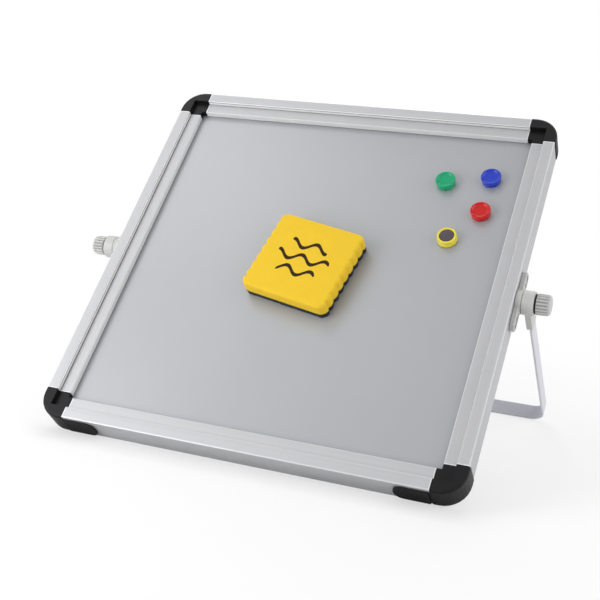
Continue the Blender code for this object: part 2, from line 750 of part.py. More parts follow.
def make_button(colour, place_share, board):
    """Button magnet: a dished plastic cap with a ferrite disc in its foot."""
    place = Vector((place_share[0] * BOARD_WIDTH, place_share[1] * BOARD_HEIGHT, SHEET_OUTER + SEAT_GAP))
    seat = Matrix.Translation(place)
    if colour == TURNED_BUTTON:
        seat = seat @ Matrix.Translation((0, 0, BUTTON_HEIGHT)) @ Matrix.Rotation(math.pi, 4, "X")
    frame = add_empty(f"{colour}_button_frame", board, seat)
    pocket_radius = DISC_RADIUS + SEAT_GAP
    pocket_top = DISC_THICKNESS + SEAT_GAP
    side_shares = ((0.95, 0), (0.94, 0.35), (1, 0.8), (1, 0.9))
    rim_shares = ((0.4, 0), (0.9, 0), (1.6, 1))
    profile = [(0, pocket_top), (pocket_radius, pocket_top), (pocket_radius, 0)]
    for wide, high in side_shares:
        profile.append((BUTTON_RADIUS * wide, BUTTON_HEIGHT * high))
    for inward, deep in rim_shares:
        profile.append((BUTTON_RADIUS - BUTTON_RIM * inward, BUTTON_HEIGHT - BUTTON_DISH_DEPTH * deep))
    profile.append((0, BUTTON_HEIGHT - BUTTON_DISH_DEPTH))
    turn(f"{colour}_magnet_cap", profile, BUTTON_STEPS, frame, look=colour)
    cylinder(f"{colour}_magnet_disc", DISC_RADIUS, 0, DISC_THICKNESS, frame, look="ferrite")


def resting_tilt():
    """Angle of the board at which its lower back edge and the bar reach one level.

    Distances are taken from the hinge, down the board and out of its back.
    """
    board_down = BOARD_HEIGHT / 2 - HINGE_BELOW_MIDDLE + CAP_PROUD - CAP_EDGE_RADIUS
    board_back = HALF_DEPTH - CAP_EDGE_RADIUS
    bar_reach = LEG_LENGTH - STRIP_EDGE_RADIUS
    bar_down = STRIP_WIDTH / 2 * math.cos(LEG_SPLAY) - bar_reach * math.sin(LEG_SPLAY)
    bar_back = bar_reach * math.cos(LEG_SPLAY) + STRIP_WIDTH / 2 * math.sin(LEG_SPLAY)
    down = board_down - bar_down
    back = bar_back - board_back
    return math.acos(CAP_EDGE_RADIUS / math.hypot(back, down)) - math.atan2(down, back)


def built_box():
    """Low and high corner of the box round every piece, in world space."""
    bpy.context.view_layer.update()
    graph = bpy.context.evaluated_depsgraph_get()
    low = Vector((math.inf, math.inf, math.inf))
    high = -low
    for item in bpy.data.objects:
        if item.type != "MESH" or item.hide_render:
            continue
        shaped = item.evaluated_get(graph)
        for vertex in shaped.data.vertices:
            point = shaped.matrix_world @ vertex.co
            low = Vector(map(min, low, point))
            high = Vector(map(max, high, point))
    return low, high


def main():
    """Build the easel about its hinge, then centre it and stand it on the ground plane."""
    clear_scene()
    easel = add_empty("easel")
    tilt = resting_tilt()
    stand = add_empty("stand_frame", easel, Matrix.Rotation(tilt + LEG_SPLAY, 4, "X"))
    board = add_empty("board_frame", easel, Matrix.Rotation(tilt, 4, "X"))
    middle = add_empty("middle_frame", board, Matrix.Translation((0, HINGE_BELOW_MIDDLE, 0)))

    make_panel(middle)
    make_rails(middle)
    make_caps(middle)
    make_foot_pads(middle)
    make_strip(stand)
    for side, word in ((1, "right"), (-1, "left")):
        fixed = side_frame(f"{word}_bracket_frame", side, board)
        make_bracket(f"{word}_bracket", fixed)
        make_screw(f"{word}_upper_screw", side * SCREW_SPACING / 2, fixed)
        make_screw(f"{word}_lower_screw", -side * SCREW_SPACING / 2, fixed)
        make_bolt(f"{word}_pivot_bolt", fixed)
        make_knob(f"{word}_knob", fixed)
        held = side_frame(f"{word}_socket_frame", side, stand)
        make_socket(f"{word}_leg_socket", held)
        make_washer(f"{word}_washer", held)
    make_eraser(middle)
    for colour, place_share in BUTTON_PLACE_SHARES.items():
        make_button(colour, place_share, middle)

    low, high = built_box()
    centre = (low + high) / 2
    easel.location = (-centre.x, -centre.y, -low.z)
    bpy.context.view_layer.update()


main()
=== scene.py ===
import json
import math

import bmesh
import bpy
from bpy.props import FloatProperty, FloatVectorProperty, IntProperty, PointerProperty
from mathutils import Matrix, Vector, noise


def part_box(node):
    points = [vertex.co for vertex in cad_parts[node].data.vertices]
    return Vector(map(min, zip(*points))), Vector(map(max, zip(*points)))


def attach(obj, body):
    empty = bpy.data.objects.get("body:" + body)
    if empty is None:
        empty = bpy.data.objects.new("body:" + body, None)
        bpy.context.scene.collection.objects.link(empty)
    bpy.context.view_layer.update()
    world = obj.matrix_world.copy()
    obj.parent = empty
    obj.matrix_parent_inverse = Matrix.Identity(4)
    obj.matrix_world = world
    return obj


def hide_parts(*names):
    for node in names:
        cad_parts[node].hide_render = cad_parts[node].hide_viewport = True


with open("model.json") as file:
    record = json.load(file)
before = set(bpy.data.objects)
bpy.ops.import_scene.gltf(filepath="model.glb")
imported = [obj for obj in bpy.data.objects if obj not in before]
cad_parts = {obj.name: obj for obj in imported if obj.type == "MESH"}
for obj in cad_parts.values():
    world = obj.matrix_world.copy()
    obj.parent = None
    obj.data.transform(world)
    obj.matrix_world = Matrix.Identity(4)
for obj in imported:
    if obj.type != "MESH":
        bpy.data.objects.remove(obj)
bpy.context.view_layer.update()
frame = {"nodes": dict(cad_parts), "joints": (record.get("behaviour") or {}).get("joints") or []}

bl_info = {
    "name": "Whiteboard Easel Finisher",
    "version": (1, 0, 0),
    "blender": (4, 5, 0),
    "location": "3D View > Sidebar > Easel",
    "description": "Finishes, finer pieces, stage and camera for a desktop whiteboard easel",
    "category": "Object",
}

SIDES = {"right": 1, "left": -1}
BUTTONS = ("green", "blue", "red", "yellow")
TURNED_BUTTON = "yellow"

# Board space: X along the hinge, Y up the board, Z out of its front
JOINTS = {joint["name"]: joint for joint in frame["joints"]}
HINGE = Vector(JOINTS["board_tilt"]["pos_m"])
OUT = Vector(JOINTS["eraser_lift"]["axis"]).normalized()
UP = OUT.cross(Vector((1, 0, 0)))
TILT = math.atan2(UP.z, UP.y)


def centre(node):
    """Middle of a node's box."""
    low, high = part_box(node)
    return (low + high) / 2


BOARD_SPACE = Matrix.Translation(centre("board_core")) @ Matrix.Rotation(TILT, 4, "X")


def board_box(node):
    """Low and high corner of a node in board space."""
    item = frame["nodes"][node]
    place = BOARD_SPACE.inverted() @ item.matrix_world
    points = [place @ corner.co for corner in item.data.vertices]
    return [Vector([pick(part) for part in zip(*points)]) for pick in (min, max)]


# Sizes that the finishes and pieces follow, in metres: the frame's, then those of the rails' profile
RAIL_LOW, RAIL_HIGH = board_box("right_rail")
HALF_BOARD = RAIL_HIGH.x
HALF_DEPTH = RAIL_HIGH.z
RAIL_END = RAIL_HIGH.y
RAIL_FACE = RAIL_HIGH.x - RAIL_LOW.x
SHEET_FACE = board_box("front_sheet")[1].z
BAND_WIDTH = 0.0069
STEP_LEVEL = 0.0055
GROOVE_MIDDLE = 0.00725
# Depth of the dark line painted along the step as shade
STEP_SHADE_LINE = 0.0074


def side_space(side):
    """Local Z out of a side rail along the hinge, local X along the rail."""
    along = Vector((1, 0, 0)) * side
    columns = Matrix((UP * side, OUT, along)).transposed().to_4x4()
    return Matrix.Translation(Vector((side * HALF_BOARD, HINGE.y, HINGE.z))) @ columns


class EaselColours(bpy.types.PropertyGroup):
    """Colours of the easel's finishes, scene linear."""

    aluminium: FloatVectorProperty(
        name="Aluminium", description="Anodised rails", subtype="COLOR", default=(0.487, 0.489, 0.504)
    )
    sheet: FloatVectorProperty(
        name="Writing sheet", description="Dry-wipe paint", subtype="COLOR", default=(0.362, 0.374, 0.394)
    )
    core: FloatVectorProperty(
        name="Core", description="Board inside the panel", subtype="COLOR", default=(0.50, 0.42, 0.31)
    )
    cap: FloatVectorProperty(
        name="Corner caps",
        description="Black moulded plastic",
        subtype="COLOR",
        default=(0.008, 0.008, 0.009),
    )
    rubber: FloatVectorProperty(
        name="Rubber", description="Foot pads and washers", subtype="COLOR", default=(0.008, 0.008, 0.008)
    )
    fitting: FloatVectorProperty(
        name="Fittings", description="Grey moulded plastic", subtype="COLOR", default=(0.515, 0.515, 0.508)
    )
    zinc: FloatVectorProperty(
        name="Zinc", description="Screws and bolts", subtype="COLOR", default=(0.55, 0.56, 0.56)
    )
    strip: FloatVectorProperty(
        name="Stand strip", description="Powder coat", subtype="COLOR", default=(0.61, 0.61, 0.665)
    )
    foam: FloatVectorProperty(
        name="Foam", description="Eraser grip", subtype="COLOR", default=(0.86, 0.57, 0.035)
    )
    print_ink: FloatVectorProperty(
        name="Print", description="Ink on the eraser", subtype="COLOR", default=(0.024, 0.011, 0.006)
    )
    felt: FloatVectorProperty(
        name="Felt", description="Eraser pad", subtype="COLOR", default=(0.012, 0.011, 0.012)
    )
    ferrite: FloatVectorProperty(
        name="Ferrite", description="Magnet discs", subtype="COLOR", default=(0.060, 0.048, 0.056)
    )
    green: FloatVectorProperty(
        name="Green button", description="Glossy plastic", subtype="COLOR", default=(0.0, 0.375, 0.165)
    )
    blue: FloatVectorProperty(
        name="Blue button", description="Glossy plastic", subtype="COLOR", default=(0.012, 0.045, 0.53)
    )
    red: FloatVectorProperty(
        name="Red button", description="Glossy plastic", subtype="COLOR", default=(0.60, 0.006, 0.006)
    )
    yellow: FloatVectorProperty(
        name="Yellow button", description="Glossy plastic", subtype="COLOR", default=(0.83, 0.70, 0.07)
    )


class EaselSizes(bpy.types.PropertyGroup):
    """Sizes of the finer pieces and of the surface detail."""

    draw_line: FloatProperty(
        name="Draw lines", description="Spacing of the die lines along a rail", unit="LENGTH", default=0.0004
    )
    mould_grain: FloatProperty(
        name="Mould grain", description="Grain of the moulded plastic", unit="LENGTH", default=0.00035
    )
    knob_radius: FloatProperty(
        name="Knob radius", description="Over the ribs", unit="LENGTH", default=0.0061
    )
    knob_ribs: IntProperty(name="Knob ribs", description="Ribs round a knob", default=18, min=6)
    rib_depth: FloatProperty(name="Rib depth", description="Groove depth", unit="LENGTH", default=0.0008)
    screw_head: FloatProperty(
        name="Screw head", description="Radius of the head", unit="LENGTH", default=0.0017
    )
    eraser_width: FloatProperty(
        name="Eraser width", description="Across the scallops", unit="LENGTH", default=0.0575
    )
    eraser_height: FloatProperty(
        name="Eraser height", description="Between the straight edges", unit="LENGTH", default=0.0558
    )
    print_line: FloatProperty(
        name="Print line", description="Width of the printed strokes", unit="LENGTH", default=0.0027
    )
    button_radius: FloatProperty(
        name="Button radius", description="Over the rim", unit="LENGTH", default=0.0061
    )
    button_height: FloatProperty(
        name="Button height", description="Foot to rim", unit="LENGTH", default=0.0042
    )


class Wire:
    """One output of a node; arithmetic on it adds Math nodes."""

    def __init__(self, graph, socket):
        self.graph = graph
        self.socket = socket

    def maths(self, operation, *values):
        return self.graph.add("ShaderNodeMath", {"operation": operation}, dict(enumerate(values)))

    def __add__(self, other):
        return self.maths("ADD", self, other)

    def __radd__(self, other):
        return self.maths("ADD", other, self)

    def __sub__(self, other):
        return self.maths("SUBTRACT", self, other)

    def __rsub__(self, other):
        return self.maths("SUBTRACT", other, self)

    def __mul__(self, other):
        return self.maths("MULTIPLY", self, other)

    def __rmul__(self, other):
        return self.maths("MULTIPLY", other, self)

    def __pow__(self, other):
        return self.maths("POWER", self, other)

    def __rpow__(self, other):
        return self.maths("POWER", other, self)

    def __abs__(self):
        return self.maths("ABSOLUTE", self)

    def sine(self):
        return self.maths("SINE", self)

    def least(self, other):
        """The smaller of two values."""
        return self.maths("MINIMUM", self, other)

    def most(self, other):
        """The larger of two values."""
        return self.maths("MAXIMUM", self, other)

    def rise(self, start, end):
        """0 below start, 1 above end, smooth between."""
        settings = {"interpolation_type": "SMOOTHSTEP"}
        return self.graph.add("ShaderNodeMapRange", settings, {0: self, 1: start, 2: end})

    def fade(self, start, end):
        """1 below start, 0 above end, smooth between."""
        return 1 - self.rise(start, end)


class Graph:
    """A node tree that is filled from expressions on wires."""

    def __init__(self, tree):
        self.tree = tree

    def add(self, kind, settings=None, sockets=None, output=0):
        """Add a node: its settings come first, then the values or wires of its sockets."""
        node = self.tree.nodes.new(kind)
        for key, value in (settings or {}).items():
            setattr(node, key, value)
        for key, value in (sockets or {}).items():
            if isinstance(value, Wire):
                self.tree.links.new(value.socket, node.inputs[key])
            else:
                node.inputs[key].default_value = value
        return Wire(self, node.outputs[output])

    def lead(self, wire, node_name, socket):
        """Lead a wire into a node that the tree already has."""
        self.tree.links.new(wire.socket, self.tree.nodes[node_name].inputs[socket])

    def split(self, vector):
        """The three parts of a vector."""
        node = self.add("ShaderNodeSeparateXYZ", None, {0: vector}).socket.node
        return [Wire(self, part) for part in node.outputs]

    def join(self, x, y, z):
        """A vector from three parts."""
        return self.add("ShaderNodeCombineXYZ", None, {0: x, 1: y, 2: z})

    def shift(self, vector, offset):
        """A vector moved by another one."""
        return self.add("ShaderNodeVectorMath", {"operation": "ADD"}, {0: vector, 1: offset})

    def stretch(self, vector, factors):
        """A vector scaled by three factors."""
        return self.add("ShaderNodeVectorMath", {"operation": "MULTIPLY"}, {0: vector, 1: factors})

    def toned(self, colour, tone):
        """A colour made lighter or darker by a wire."""
        return self.add("ShaderNodeVectorMath", {"operation": "SCALE"}, {0: colour, "Scale": tone})

    def tint(self, mask, first, second):
        """Colour that goes from the first to the second with a mask."""
        pair = [value if isinstance(value, Wire) else (*value, 1.0)[:4] for value in (first, second)]
        return self.add("ShaderNodeMix", {"data_type": "RGBA"}, {0: mask, 6: pair[0], 7: pair[1]}, output=2)

    def grain(self, vector, scale, detail, roughness):
        """Soft noise, about 0.5 on average."""
        sockets = {"Vector": vector, "Scale": scale, "Detail": detail, "Roughness": roughness}
        return self.add("ShaderNodeTexNoise", None, sockets)

    def cells(self, vector, scale):
        """Distance to the nearest of scattered points."""
        return self.add("ShaderNodeTexVoronoi", None, {"Vector": vector, "Scale": scale})

    def relief(self, height, depth, strength, below=None):
        """Normal of a surface with this height, in metres of depth, over another relief."""
        sockets = {"Strength": strength, "Distance": depth, "Height": height}
        if below is not None:
            sockets["Normal"] = below
        return self.add("ShaderNodeBump", None, sockets)


class Finish(Graph):
    """A material; keywords set sockets of its shader that are the same all over."""

    def __init__(self, name, **constants):
        self.material = bpy.data.materials.new(name)
        self.material.use_nodes = True
        super().__init__(self.material.node_tree)
        self.shader = self.tree.nodes["Principled BSDF"]
        for word, value in constants.items():
            socket = word.replace("_", " ").title().replace("Ior", "IOR")
            self.shader.inputs[socket].default_value = value

    def feed(self, **wires):
        """Lead wires into the shader."""
        for word, wire in wires.items():
            self.tree.links.new(wire.socket, self.shader.inputs[word.replace("_", " ").title()])

    def here(self):
        """The surface point in the object's own space."""
        return self.add("ShaderNodeTexCoord", output=3)

    def local(self, space):
        """The surface point in the space that a matrix describes."""
        sockets = {"Vector": self.here(), "Location": space.translation, "Rotation": space.to_euler()}
        return self.add("ShaderNodeMapping", {"vector_type": "TEXTURE"}, sockets)


def shade(colour, factor):
    """A colour made lighter or darker."""
    return tuple(min(1.0, part * factor) for part in colour)


def dress(nodes, finish):
    """Put a finish on CAD nodes."""
    for node in nodes:
        item = frame["nodes"][node]
        item.data.materials.clear()
        item.data.materials.append(finish.material)


def make_piece(name, solid, matrix, finish, body, node, smooth):
    """Turn a bmesh into a piece that rides a body and stands for a node, sharp above an angle."""
    bmesh.ops.recalc_face_normals(solid, faces=solid.faces)
    mesh = bpy.data.meshes.new(name)
    solid.to_mesh(mesh)
    solid.free()
    mesh.shade_smooth()
    mesh.set_sharp_from_angle(angle=math.radians(smooth))
    mesh.materials.append(finish.material)
    piece = bpy.data.objects.new(name, mesh)
    bpy.context.scene.collection.objects.link(piece)
    piece.matrix_world = matrix
    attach(piece, body)
    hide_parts(node)
    return piece


def lathe(profile, steps):
    """Closed turned solid from (radius, height) points about Z."""
    solid = bmesh.new()
    rings = []
    for radius, height in profile:
        count = steps if radius > 0 else 1
        ring = []
        for step in range(count):
            angle = 2 * math.pi * step / steps
            ring.append(solid.verts.new((radius * math.cos(angle), radius * math.sin(angle), height)))
        rings.append(ring)
    for lower, upper in zip(rings, rings[1:]):
        for step in range(steps):
            corners = [lower[step % len(lower)], lower[(step + 1) % steps % len(lower)]]
            corners += [upper[(step + 1) % steps % len(upper)], upper[step % len(upper)]]
            solid.faces.new(list(dict.fromkeys(corners)))
    return solid


def skin(rings):
    """Closed solid through a stack of loops with as many points each, with a fan at each end."""
    solid = bmesh.new()
    stack = [[solid.verts.new(point) for point in ring] for ring in rings]
    for lower, upper in zip(stack, stack[1:]):
        for index in range(len(lower)):
            solid.faces.new((lower[index - 1], lower[index], upper[index], upper[index - 1]))
    for rim in (stack[0], stack[-1]):
        middle = solid.verts.new(sum((corner.co for corner in rim), Vector()) / len(rim))
        for index, corner in enumerate(rim):
            solid.faces.new((middle, rim[index - 1], corner))
    return solid


def rounded(points, steps):
    """A profile of (radius, height, fillet) points with its corners rounded."""
    result = []
    for index, (radius, height, fillet) in enumerate(points):
        here = Vector((radius, height))
        if fillet == 0:
            result.append((radius, height))
            continue
        before = (Vector(points[index - 1][:2]) - here).normalized()
        after = (Vector(points[index + 1][:2]) - here).normalized()
        start, end = here + before * fillet, here + after * fillet
        for step in range(steps + 1):
            share = step / steps
            point = start * (1 - share) ** 2 + here * 2 * share * (1 - share) + end * share**2
            result.append((max(point.x, 0.0), point.y))
    return result


# Finishes

# Marks on the rails, in metres: a pair says where a mark starts and ends its fade
RUBBED_AND_HIGHLIT_EDGE = (0.0004, 0.0009)
STEP_WALL = (0.0001, 0.0003)
STEP_RISE = (STEP_LEVEL - 0.0002, STEP_LEVEL)
INNER_WALL = (RAIL_FACE - 0.0004, RAIL_FACE - 0.0001)
LINE_WIDTH = (0.00015, 0.00035)
GROOVE_LEVEL = STEP_LEVEL - 0.0004
GROOVE_WIDTH = (0.0002, 0.0004)
GROOVE_DEPTH = (0.0003, 0.0006)
CUT_END = (RAIL_END - 0.0006, RAIL_END - 0.0003)
CUT_LEVEL = (0.0035, 0.0045)
SEAM_WIDTH = (0.0003, 0.0006)
SEAM_LEVEL = (0.0060, 0.0070)
WALL_HIGHLIGHT_COLOUR = (0.94, 0.94, 0.94)
CUT_COLOUR = (0.86, 0.87, 0.88)

# Grains per metre along a rail
GRAIN_ALONG = 9


def aluminium_finish(colours, sizes, run):
    """Satin anodised extrusion: die lines, painted highlight on the step and the walls beside the sheet,
    painted shade in the groove and along the step, edges lighter from rubbing wear and a painted highlight,
    cut ends.
    """
    finish = Finish(f"anodised_{run}", metallic=0.30, specular_ior_level=0.35)
    place = finish.local(BOARD_SPACE)
    x, y, z = finish.split(place)
    fine = 1 / sizes.draw_line
    # The fourth value of each run sets the painted shade in the groove, stronger on the upright rails
    if run == "across":
        inward, along, drawn, groove_shade = HALF_BOARD - abs(y), abs(x), (GRAIN_ALONG, fine, fine), 0.10
    else:
        inward, along, drawn, groove_shade = HALF_BOARD - abs(x), abs(y), (fine, GRAIN_ALONG, fine), 0.80
    lines = finish.grain(finish.stretch(place, drawn), 1.0, 3.0, 0.6)
    broad = finish.grain(finish.stretch(place, drawn), 0.32, 1.0, 0.5)
    cloud = finish.grain(place, 38.0, 3.0, 0.55)
    satin = finish.grain(place, 7000.0, 1.0, 0.5)
    depth = abs(z)
    edge = (inward * inward + (HALF_DEPTH - depth) ** 2.0) ** 0.5
    rubbed_and_highlit = edge.fade(*RUBBED_AND_HIGHLIT_EDGE)
    step = abs(inward - BAND_WIDTH).fade(*STEP_WALL) * depth.rise(*STEP_RISE)
    highlit_inner_wall = inward.rise(*INNER_WALL)
    # A dark line painted along the step face stands for shade
    step_shade_line = step * abs(depth - STEP_SHADE_LINE).fade(*LINE_WIDTH)
    groove = abs(inward - GROOVE_MIDDLE).fade(*GROOVE_WIDTH) * abs(depth - GROOVE_LEVEL).fade(*GROOVE_DEPTH)
    end = along.rise(*CUT_END)
    cut = end * z.rise(*CUT_LEVEL)
    seam = end * inward.fade(*SEAM_WIDTH) * z.fade(*SEAM_LEVEL)
    base = finish.toned(colours.aluminium, 0.86 + 0.12 * lines + 0.10 * broad + 0.06 * cloud)
    # Painted highlight: the step and the walls beside the sheet are tinted near white to look lit
    base = finish.tint(step.most(highlit_inner_wall * 0.70) * 0.95, base, WALL_HIGHLIGHT_COLOUR)
    # Painted shade darkens the groove and the line along the step
    base = finish.tint((groove * groove_shade).most(step_shade_line * 0.85), base, shade(colours.aluminium, 0.25))
    # Edges lighter partly from rubbing wear and partly as a painted highlight
    base = finish.tint(rubbed_and_highlit * 0.60, base, shade(colours.aluminium, 1.55))
    base = finish.tint(cut * 0.8, base, CUT_COLOUR)
    base = finish.tint(seam * 0.9, base, shade(colours.aluminium, 0.06))
    rough = 0.48 + 0.10 * (lines - 0.5) + 0.12 * (cloud - 0.5) - 0.12 * rubbed_and_highlit + 0.2 * groove
    normal = finish.relief(lines * 0.8 + satin * 0.2, depth=0.00002, strength=0.16)
    finish.feed(base_color=base, roughness=rough, normal=normal)
    return finish


# Reach of the dust and painted shade beside the frame and of the painted shadow line there, in metres, and
# the turn of the wiping marks
DUST_AND_SHADE_REACH = 0.0052
FRAME_SHADOW_LINE = (0.0006, 0.0018)
WIPE_TURN = 0.5


def sheet_finish(colours):
    """Dry-wipe paint: smooth and satin, with wiping marks, orange peel, and dust with painted shade and a
    painted shadow line at the frame.
    """
    gloss = {"specular_ior_level": 0.6, "coat_weight": 0.8, "coat_roughness": 0.38}
    finish = Finish("dry_wipe_paint", metallic=0.12, **gloss)
    place = finish.local(BOARD_SPACE)
    x, y, _ = finish.split(place)
    cloud = finish.grain(place, 9.0, 3.0, 0.5)
    turned = {"Vector": place, "Rotation": (0, 0, WIPE_TURN), "Scale": (18, 90, 18)}
    wiped = finish.grain(finish.add("ShaderNodeMapping", None, turned), 1.0, 3.0, 0.5)
    peel = finish.grain(place, 900.0, 1.0, 0.4)
    speck = finish.grain(place, 5200.0, 0.0, 0.5)
    half_sheet = HALF_BOARD - RAIL_FACE
    to_frame = (half_sheet - abs(x)).least(half_sheet - abs(y))
    dust_and_shade = to_frame.fade(0.0, DUST_AND_SHADE_REACH) * (0.6 + 0.4 * wiped)
    line = to_frame.fade(*FRAME_SHADOW_LINE)
    base = finish.toned(colours.sheet, 0.940 + 0.09 * cloud + 0.01 * wiped + 0.02 * speck)
    # Dust and painted shade darken the sheet towards the frame
    base = finish.tint(dust_and_shade * 0.42, base, shade(colours.sheet, 0.62))
    # Painted shadow line right beside the frame
    base = finish.tint(line * 0.22, base, shade(colours.sheet, 0.40))
    rough = 0.38 + 0.03 * (wiped - 0.5) + 0.05 * (cloud - 0.5) + 0.10 * dust_and_shade
    normal = finish.relief(peel, depth=0.00002, strength=0.12)
    finish.feed(base_color=base, roughness=rough, normal=normal)
    return finish


def core_finish(colours):
    """Fibreboard edge with short fibres."""
    finish = Finish("fibreboard", roughness=0.9)
    place = finish.local(BOARD_SPACE)
    fibre = finish.grain(finish.stretch(place, (900, 900, 5200)), 1.0, 3.0, 0.6)
    base = finish.tint(fibre, shade(colours.core, 0.55), shade(colours.core, 1.2))
    finish.feed(base_color=base, normal=finish.relief(fibre, depth=0.0001, strength=0.5))
    return finish


# Half of the parting line, in metres, and where the dirt and painted shade in the grooves end along a ribbed
# piece
PARTING_LINE = (0.00009, 0.00018)
GRIME_AND_SHADE_FADE_SHARES = (0.80, 0.93)


def moulded_finish(name, colour, sizes, space, roughness, gloss=0.5, seam=False, ribbed=0.0):
    """Moulded plastic with handling wear; ribbed is the length of a piece with dirt and painted shade in the
    grooves between its ribs.
    """
    finish = Finish(name, specular_ior_level=gloss)
    place = finish.local(space)
    x, y, z = finish.split(place)
    pits = finish.cells(place, 1 / sizes.mould_grain)
    fine = finish.grain(place, 2.2 / sizes.mould_grain, 2.0, 0.6)
    flow = finish.grain(finish.stretch(place, (60, 60, 150)), 1.0, 2.0, 0.5)
    handled = finish.grain(place, 240.0, 3.0, 0.65)
    base = finish.toned(colour, 0.88 + 0.10 * flow + 0.09 * fine + 0.06 * handled)
    base = finish.tint(handled.rise(0.55, 0.80) * 0.2, base, shade(colour, 1.5))
    normal = finish.relief(fine * 0.6 - pits * 0.4, depth=0.00003, strength=0.5)
    rough = roughness + 0.14 * (handled - 0.5) + 0.10 * (fine - 0.5)
    if seam:
        line = abs(z).fade(*PARTING_LINE)
        base = finish.tint(line * 0.35, base, shade(colour, 1.6))
        normal = finish.relief(line, depth=0.00006, strength=0.7, below=normal)
    if ribbed:
        rib = (y.maths("ARCTAN2", y, x) * sizes.knob_ribs + math.pi / 2).sine()
        start, end = [ribbed * share for share in GRIME_AND_SHADE_FADE_SHARES]
        # Dirt and painted shade darken the grooves between the ribs, fading before the end
        grime_and_shade = rib.fade(-0.9, 0.6) * z.fade(start, end)
        base = finish.tint(grime_and_shade * (0.50 + 0.25 * handled), base, shade(colour, 0.35))
    finish.feed(base_color=base, roughness=rough, normal=normal)
    return finish


def rubber_finish(colours):
    """Matt rubber with a talc bloom and a fine pebble."""
    finish = Finish("rubber", specular_ior_level=0.25)
    place = finish.local(BOARD_SPACE)
    pebble = finish.cells(place, 2600.0)
    bloom = finish.grain(place, 420.0, 4.0, 0.6)
    base = finish.tint(bloom.rise(0.45, 0.75) * 0.5, colours.rubber, shade(colours.rubber, 2.6))
    normal = finish.relief(pebble, depth=0.00004, strength=0.5)
    finish.feed(base_color=base, roughness=0.66 + 0.2 * bloom, normal=normal)
    return finish


# Colour of the passivated patches
PASSIVATED = (0.56, 0.52, 0.42)


def zinc_finish(colours):
    """Bright zinc plate: tumbled sparkle, with a warm passivated tint in patches."""
    finish = Finish("zinc_plate", metallic=1.0)
    place = finish.local(BOARD_SPACE)
    tumbled = finish.cells(place, 3200.0)
    patch = finish.grain(place, 700.0, 3.0, 0.6)
    base = finish.tint(patch.rise(0.4, 0.7), colours.zinc, PASSIVATED)
    base = finish.tint(tumbled * 0.4, base, shade(colours.zinc, 0.6))
    rough = 0.26 + 0.22 * patch + 0.1 * tumbled
    normal = finish.relief(tumbled, depth=0.00002, strength=0.4)
    finish.feed(base_color=base, roughness=rough, normal=normal)
    return finish


def strip_finish(colours):
    """Powder coat on flat steel: orange peel and a fine sparkle."""
    finish = Finish("powder_coat", specular_ior_level=0.4, coat_weight=0.1, coat_roughness=0.3)
    place = finish.here()
    peel = finish.grain(place, 1500.0, 2.0, 0.5)
    sparkle = finish.cells(place, 6500.0)
    cloud = finish.grain(place, 45.0, 3.0, 0.6)
    base = finish.toned(colours.strip, 0.93 + 0.06 * cloud + 0.06 * peel + 0.04 * sparkle)
    rough = 0.42 + 0.14 * (peel - 0.5) + 0.1 * (cloud - 0.5)
    normal = finish.relief(peel + sparkle * 0.2, depth=0.00005, strength=0.35)
    finish.feed(base_color=base, roughness=rough, normal=normal)
    return finish


# The printed waves: place up the eraser, half length and phase of each, in metres and radians
WAVES = ((0.0095, 0.0115, 0.0), (0.0, 0.0165, 2.1), (-0.0095, 0.0115, 4.2))
WAVE_HEIGHT = 0.0024
WAVE_RATE = 400.0
PRINT_LEVEL = (0.0100, 0.0104)


def foam_finish(colours, sizes):
    """Closed-cell foam: fine burst cells, a pressed skin and three printed waves on top."""
    finish = Finish("eraser_foam", specular_ior_level=0.12)
    place = finish.here()
    x, y, z = finish.split(place)
    cell = finish.cells(place, 1700.0)
    small = finish.cells(place, 4200.0)
    cloud = finish.grain(place, 90.0, 3.0, 0.55)
    ink = None
    for level, reach, phase in WAVES:
        off = y - level - WAVE_HEIGHT * (x * WAVE_RATE + phase).sine()
        past = (abs(x) - reach).most(0.0)
        away = (off * off + past * past) ** 0.5
        stroke = away.fade(sizes.print_line * 0.44, sizes.print_line * 0.5)
        ink = stroke if ink is None else ink.most(stroke)
    patchy = finish.grain(place, 2600.0, 2.0, 0.7)
    ink = ink * z.rise(*PRINT_LEVEL) * (0.88 + 0.12 * patchy.rise(0.30, 0.42))
    base = finish.toned(colours.foam, 0.93 + 0.08 * cloud + 0.05 * cell)
    base = finish.tint(small.rise(0.55, 0.9) * 0.25, base, shade(colours.foam, 0.72))
    base = finish.tint(ink, base, colours.print_ink)
    height = cell * 0.7 + small * 0.3 - 0.12 * ink
    rough = 0.62 + 0.1 * cloud - 0.06 * ink
    normal = finish.relief(height, depth=0.0001, strength=0.28)
    finish.feed(base_color=base, roughness=rough, normal=normal)
    return finish


def felt_finish(colours):
    """Pressed felt: tangled fibres, lighter where they stand up."""
    finish = Finish("felt", roughness=0.95, specular_ior_level=0.2, sheen_weight=0.1, sheen_roughness=0.5)
    place = finish.here()
    warp = finish.grain(place, 600.0, 2.0, 0.6)
    bent = finish.shift(place, finish.join(warp * 0.002, warp * 0.0014, 0.0))
    fibre = finish.grain(finish.stretch(bent, (900, 5200, 3000)), 1.0, 3.0, 0.7)
    cross = finish.grain(finish.stretch(bent, (5200, 900, 3000)), 1.0, 3.0, 0.7)
    tangle = fibre.most(cross)
    base = finish.tint(tangle.rise(0.45, 0.75), shade(colours.felt, 0.6), shade(colours.felt, 3.2))
    finish.feed(base_color=base, normal=finish.relief(tangle, depth=0.0003, strength=0.9))
    return finish


